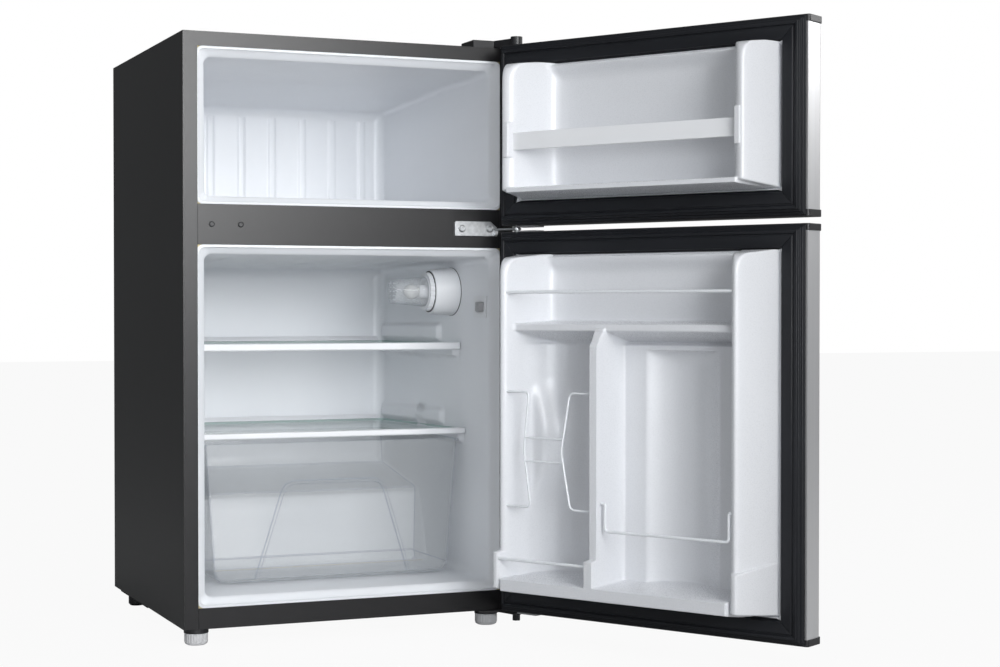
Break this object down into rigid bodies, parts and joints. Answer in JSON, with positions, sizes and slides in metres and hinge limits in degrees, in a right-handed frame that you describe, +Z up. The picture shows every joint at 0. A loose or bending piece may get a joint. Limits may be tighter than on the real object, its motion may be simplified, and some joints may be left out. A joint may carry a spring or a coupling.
{
  "type": "compact refrigerator-freezer",
  "caption": "Two-door compact refrigerator with top freezer, both right-hinged doors standing open on glass shelves, a clear crisper and moulded door racks.",
  "frame": {"origin": "floor level, under the middle of the whole object's box with both doors standing open", "axes": "+Z up, the cabinet's front faces -Y, the doors are hinged on the +X side"},
  "size_m": [0.7289, 0.9141, 0.8532],
  "materials": {
    "charcoal_steel": "satin charcoal paint over pressed steel",
    "dark_steel": "plain dark paint on folded steel",
    "liner_white": "vacuum-formed white plastic with a faint orange peel",
    "trim_white": "moulded white plastic",
    "foot_white": "moulded ribbed plastic",
    "silver_skin": "silver film-coated steel",
    "cap_black": "black moulded plastic",
    "seal_rubber": "soft ribbed magnetic seal",
    "stop_grey": "grey moulded plastic",
    "foam_cream": "foamed-in-place insulation, hidden",
    "cold_plate": "roll-bonded aluminium, hidden",
    "copper_tube": "brazed copper tube",
    "compressor_paint": "black enamel on a drawn steel shell",
    "zinc_steel": "zinc-plated steel",
    "wire_white": "white-coated steel wire",
    "shelf_glass": "tempered clear glass with a green edge",
    "clear_plastic": "clear moulded polystyrene",
    "bulb_glass": "frosted lamp glass"
  },
  "bodies": {
    "cabinet": {"cabinet_wrap": "charcoal_steel", "mullion_rail": "charcoal_steel", "bottom_pan": "charcoal_steel", "niche_panel": "dark_steel", "back_panel": "dark_steel", "compressor_tray": "dark_steel", "freezer_liner": "liner_white", "fridge_liner": "liner_white", "insulation": "foam_cream", "evaporator": "cold_plate", "condenser": "copper_tube", "compressor": "compressor_paint", "compressor_grommets": "seal_rubber", "relay_box": "cap_black", "refrigerant_tubes": "copper_tube", "drain_tray": "cap_black", "drain_tube": "cap_black", "cord_grommet": "seal_rubber", "foot_collars": "cap_black", "rear_feet": "cap_black", "top_hinge": "zinc_steel", "hinge_cover": "cap_black", "mid_hinge": "zinc_steel", "bottom_hinge": "dark_steel", "cabinet_screws": "zinc_steel", "mid_hinge_screws": "zinc_steel", "mullion_plugs": "stop_grey", "thermostat_housing": "trim_white", "thermostat_switch": "trim_white", "lamp_cover": "clear_plastic", "lamp_socket": "trim_white", "bulb": "bulb_glass", "switch_plate": "trim_white"},
    "left_foot": {"foot_left": "foot_white"},
    "right_foot": {"foot_right": "foot_white"},
    "dial": {"thermostat_dial": "trim_white"},
    "rocker": {"switch_rocker": "cap_black"},
    "upper_shelf": {"upper_glass": "shelf_glass", "upper_trims": "trim_white"},
    "crisper_lid": {"cover_glass": "shelf_glass", "cover_trims": "trim_white"},
    "crisper": {"crisper_drawer": "clear_plastic"},
    "freezer_door": {"freezer_door_skin": "silver_skin", "freezer_top_cap": "cap_black", "freezer_bottom_cap": "cap_black", "freezer_gasket": "seal_rubber", "freezer_door_liner": "liner_white", "freezer_door_foam": "foam_cream", "freezer_bar": "liner_white", "freezer_stop": "stop_grey"},
    "fridge_door": {"fridge_door_skin": "silver_skin", "fridge_top_cap": "cap_black", "fridge_bottom_cap": "cap_black", "fridge_gasket": "seal_rubber", "fridge_door_liner": "liner_white", "fridge_door_foam": "foam_cream", "fridge_stops": "stop_grey", "can_rack": "wire_white", "door_wires": "wire_white"}
  },
  "joints": [
    {"name": "freezer_door_hinge", "type": "hinge", "parent": "cabinet", "child": "freezer_door", "pos_m": [0.11427, -0.02718, 0.581], "axis": [0, 0, 1], "range_deg": [-119.5, 10.5]},
    {"name": "fridge_door_hinge", "type": "hinge", "parent": "cabinet", "child": "fridge_door", "pos_m": [0.11427, -0.02718, 0.028], "axis": [0, 0, 1], "range_deg": [-119.5, 10.5]},
    {"name": "upper_shelf_slide", "type": "slide", "parent": "cabinet", "child": "upper_shelf", "axis": [0, -1, 0], "range_m": [0, 0.148]},
    {"name": "crisper_lid_slide", "type": "slide", "parent": "cabinet", "child": "crisper_lid", "axis": [0, -1, 0], "range_m": [0, 0.13]},
    {"name": "crisper_slide", "type": "slide", "parent": "cabinet", "child": "crisper", "axis": [0, -1, 0], "range_m": [0, 0.15]},
    {"name": "thermostat_dial_turn", "type": "hinge", "parent": "cabinet", "child": "dial", "pos_m": [0.03927, 0.14782, 0.488], "axis": [-1, 0, 0], "range_deg": [0, 300]},
    {"name": "light_switch_rock", "type": "hinge", "parent": "cabinet", "child": "rocker", "pos_m": [0.08975, 0.05623, 0.465], "axis": [0, 0, 1], "range_deg": [0, 12], "stiffness_Nm_per_rad": 0.02},
    {"name": "left_foot_turn", "type": "hinge", "parent": "cabinet", "child": "left_foot", "pos_m": [-0.34373, 0.02882, 0.025], "axis": [0, 0, 1], "continuous": true},
    {"name": "right_foot_turn", "type": "hinge", "parent": "cabinet", "child": "right_foot", "pos_m": [0.09027, 0.02882, 0.025], "axis": [0, 0, 1], "continuous": true}
  ]
}
